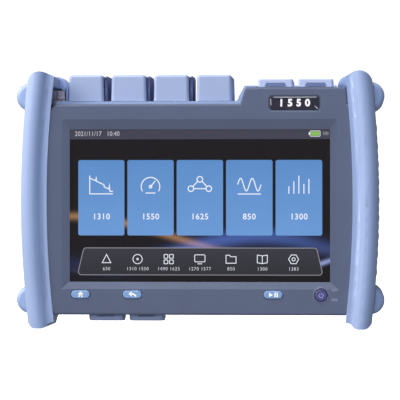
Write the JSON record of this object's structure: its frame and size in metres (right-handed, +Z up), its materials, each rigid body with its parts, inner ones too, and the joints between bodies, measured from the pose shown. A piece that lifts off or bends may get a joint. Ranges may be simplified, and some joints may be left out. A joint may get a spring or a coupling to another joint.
{
  "type": "optical time domain reflectometer",
  "caption": "Handheld fibre tester with a touch screen, soft side bumpers, hinged dust caps over its optical ports, keys and a folding rear stand.",
  "frame": {"origin": "middle of the base, midway between the two bumper feet on the surface it stands on", "axes": "+X to the right along the screen, +Y from the screen to the back, +Z up"},
  "size_m": [0.2216, 0.07, 0.1542],
  "materials": {
    "case": "fine moulded texture, blue-grey",
    "case_dark": "dark gasket",
    "bumper": "soft moulded rubber, light periwinkle blue",
    "cap": "satin moulded plastic, light blue",
    "cover": "satin moulded plastic, mid blue",
    "key": "satin key cap, light blue",
    "power_key": "dark indigo key cap",
    "ring": "dark moulded ring",
    "light_guide": "smoked light guide",
    "plate": "glossy black plate",
    "screen_glass": "black-bordered touch glass over a lit screen",
    "lcd": "display panel",
    "tray": "pressed metal tray",
    "board": "green circuit board",
    "steel": "satin steel",
    "adapter": "plated metal adapter",
    "module": "milled aluminium box",
    "socket": "black moulded socket",
    "battery": "black wrapped pack",
    "stand": "moulded stand plate"
  },
  "bodies": {
    "case": {"front_cover": "case", "rear_cover": "case", "case_seal": "case_dark", "bumper_left": "bumper", "bumper_right": "bumper", "strap_lug_left": "steel", "strap_lug_right": "steel", "top_trim": "bumper", "top_hinge_pins": "steel", "bottom_hinge_pins": "steel", "power_ring": "ring", "status_lights": "light_guide", "label_plate": "plate", "touch_glass": "screen_glass", "lcd_panel": "lcd", "lcd_frame": "tray", "main_board": "board", "key_board": "board", "board_screws": "steel", "otdr_module": "module", "io_board": "board", "power_board": "board", "lan_jack": "socket", "usb_jack": "steel", "dc_jack": "socket", "card_socket": "steel", "battery_pack": "battery", "battery_door": "case", "door_screws": "steel", "stand_pin": "steel", "case_screws": "steel", "optical_adapter_1": "adapter", "optical_adapter_2": "adapter", "optical_adapter_3": "adapter", "optical_adapter_4": "adapter"},
    "port_cap_1": {"port_cap_1": "cap"},
    "port_cap_2": {"port_cap_2": "cap"},
    "port_cap_3": {"port_cap_3": "cap"},
    "port_cap_4": {"port_cap_4": "cap"},
    "lan_cover": {"lan_cover": "cover"},
    "usb_cover": {"usb_cover": "cover"},
    "power_cover": {"power_cover": "cap"},
    "card_cover": {"card_cover": "cap"},
    "home_key": {"home_key": "key"},
    "back_key": {"back_key": "key"},
    "run_key": {"run_key": "key"},
    "power_key": {"power_key": "power_key"},
    "kickstand": {"kickstand": "stand"}
  },
  "joints": [
    {"name": "port_cap_1_hinge", "type": "hinge", "parent": "case", "child": "port_cap_1", "pos_m": [-0.0694, 0.025, 0.1384], "axis": [-1, 0, 0], "range_deg": [0, 100]},
    {"name": "port_cap_2_hinge", "type": "hinge", "parent": "case", "child": "port_cap_2", "pos_m": [-0.0435, 0.025, 0.1384], "axis": [-1, 0, 0], "range_deg": [0, 100]},
    {"name": "port_cap_3_hinge", "type": "hinge", "parent": "case", "child": "port_cap_3", "pos_m": [-0.0176, 0.025, 0.1384], "axis": [-1, 0, 0], "range_deg": [0, 100]},
    {"name": "port_cap_4_hinge", "type": "hinge", "parent": "case", "child": "port_cap_4", "pos_m": [0.0083, 0.025, 0.1384], "axis": [-1, 0, 0], "range_deg": [0, 100]},
    {"name": "lan_cover_hinge", "type": "hinge", "parent": "case", "child": "lan_cover", "pos_m": [0.0453, 0.025, 0.1475], "axis": [-1, 0, 0], "range_deg": [0, 100]},
    {"name": "usb_cover_hinge", "type": "hinge", "parent": "case", "child": "usb_cover", "pos_m": [0.0695, 0.025, 0.1475], "axis": [-1, 0, 0], "range_deg": [0, 100]},
    {"name": "power_cover_hinge", "type": "hinge", "parent": "case", "child": "power_cover", "pos_m": [-0.0573, 0.006, 0.005], "axis": [1, 0, 0], "range_deg": [0, 95]},
    {"name": "card_cover_hinge", "type": "hinge", "parent": "case", "child": "card_cover", "pos_m": [-0.0328, 0.006, 0.005], "axis": [1, 0, 0], "range_deg": [0, 95]},
    {"name": "home_key_travel", "type": "slide", "parent": "case", "child": "home_key", "axis": [0, 1, 0], "range_m": [0, 0.0008], "stiffness_N_per_m": 600},
    {"name": "back_key_travel", "type": "slide", "parent": "case", "child": "back_key", "axis": [0, 1, 0], "range_m": [0, 0.0008], "stiffness_N_per_m": 600},
    {"name": "run_key_travel", "type": "slide", "parent": "case", "child": "run_key", "axis": [0, 1, 0], "range_m": [0, 0.0008], "stiffness_N_per_m": 600},
    {"name": "power_key_travel", "type": "slide", "parent": "case", "child": "power_key", "axis": [0, 1, 0], "range_m": [0, 0.0008], "stiffness_N_per_m": 600},
    {"name": "kickstand_hinge", "type": "hinge", "parent": "case", "child": "kickstand", "pos_m": [0, 0.0264, 0.096], "axis": [1, 0, 0], "range_deg": [0, 55]}
  ]
}
